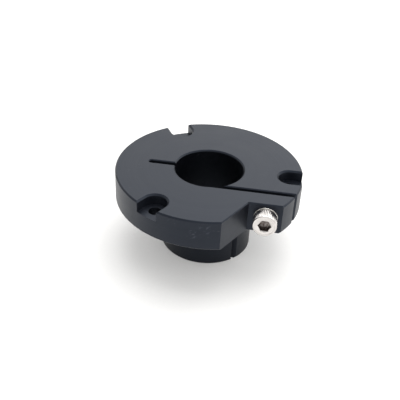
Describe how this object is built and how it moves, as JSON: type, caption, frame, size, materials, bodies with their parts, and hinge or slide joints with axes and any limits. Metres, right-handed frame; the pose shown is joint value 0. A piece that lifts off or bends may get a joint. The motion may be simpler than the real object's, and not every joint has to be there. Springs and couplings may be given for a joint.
{
  "type": "shaft collar",
  "caption": "Flanged split shaft collar: a round flange on a short hub, clamped onto a shaft through the bore by a cross screw in a notch, with counterbored mounting holes open at the rim.",
  "frame": {"origin": "centre of the hub's lower face, on the bore axis", "axes": "+Z along the bore from the hub towards the flange; +X along the clamping slit towards its open end; the clamp screw's head points towards -Y"},
  "size_m": [0.068, 0.068, 0.0313],
  "materials": {
    "anodised_body": "black anodised, satin, finely turned faces",
    "washer_steel": "bright plated, polished by stamping",
    "screw_steel": "bright plated, knurled head"
  },
  "bodies": {
    "collar": {"collar_body": "anodised_body"},
    "washer": {"washer": "washer_steel"},
    "screw": {"clamp_screw": "screw_steel"}
  },
  "joints": [
    {"name": "screw_advance", "type": "slide", "parent": "collar", "child": "washer", "axis": [0, -1, 0], "range_m": [0, 0.0064]},
    {"name": "screw_turn", "type": "hinge", "parent": "washer", "child": "screw", "pos_m": [0.0224, -0.0197, 0.0259], "axis": [0, -1, 0], "range_deg": [0, 2880]}
  ],
  "couplings": [
    {"joint": "screw_turn", "follows": "screw_advance", "rad_per_m": 7854}
  ]
}
